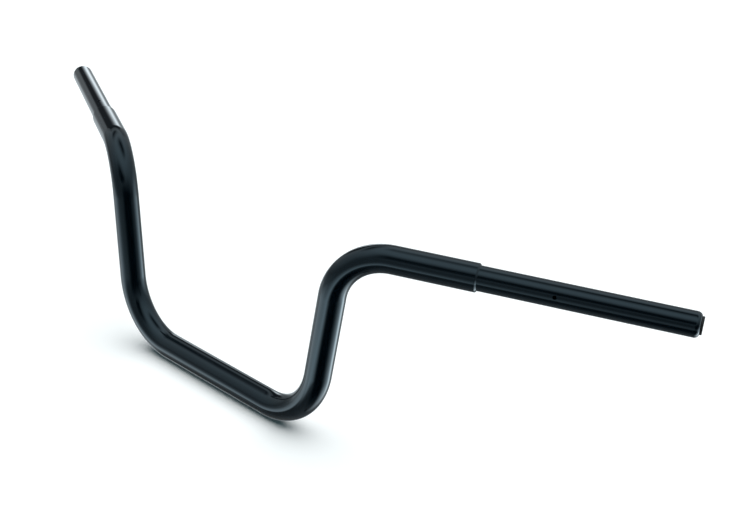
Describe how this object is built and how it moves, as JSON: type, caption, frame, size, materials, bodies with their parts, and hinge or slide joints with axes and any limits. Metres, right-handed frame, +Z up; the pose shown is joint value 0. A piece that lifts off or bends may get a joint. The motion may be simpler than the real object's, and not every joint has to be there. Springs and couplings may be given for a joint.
{
  "type": "ape hanger handlebar",
  "caption": "Bent steel motorcycle handlebar: tall uprights, pulled-back ends drawn down for grips, peg holes for hand controls, plugged open ends.",
  "frame": {"origin": "middle of the clamp seat, on the centreline of the straight between the lower bends", "axes": "+X along the clamp seat to the rider's right-hand end, +Y back towards the rider, +Z up along the uprights' plane"},
  "size_m": [0.8712, 0.1633, 0.2089],
  "materials": {
    "tube_paint": "high gloss black",
    "plug_plastic": "matt black moulded"
  },
  "bodies": {
    "root": {"handlebar_tube": "tube_paint", "right_end_plug": "plug_plastic", "left_end_plug": "plug_plastic"}
  },
  "joints": []
}
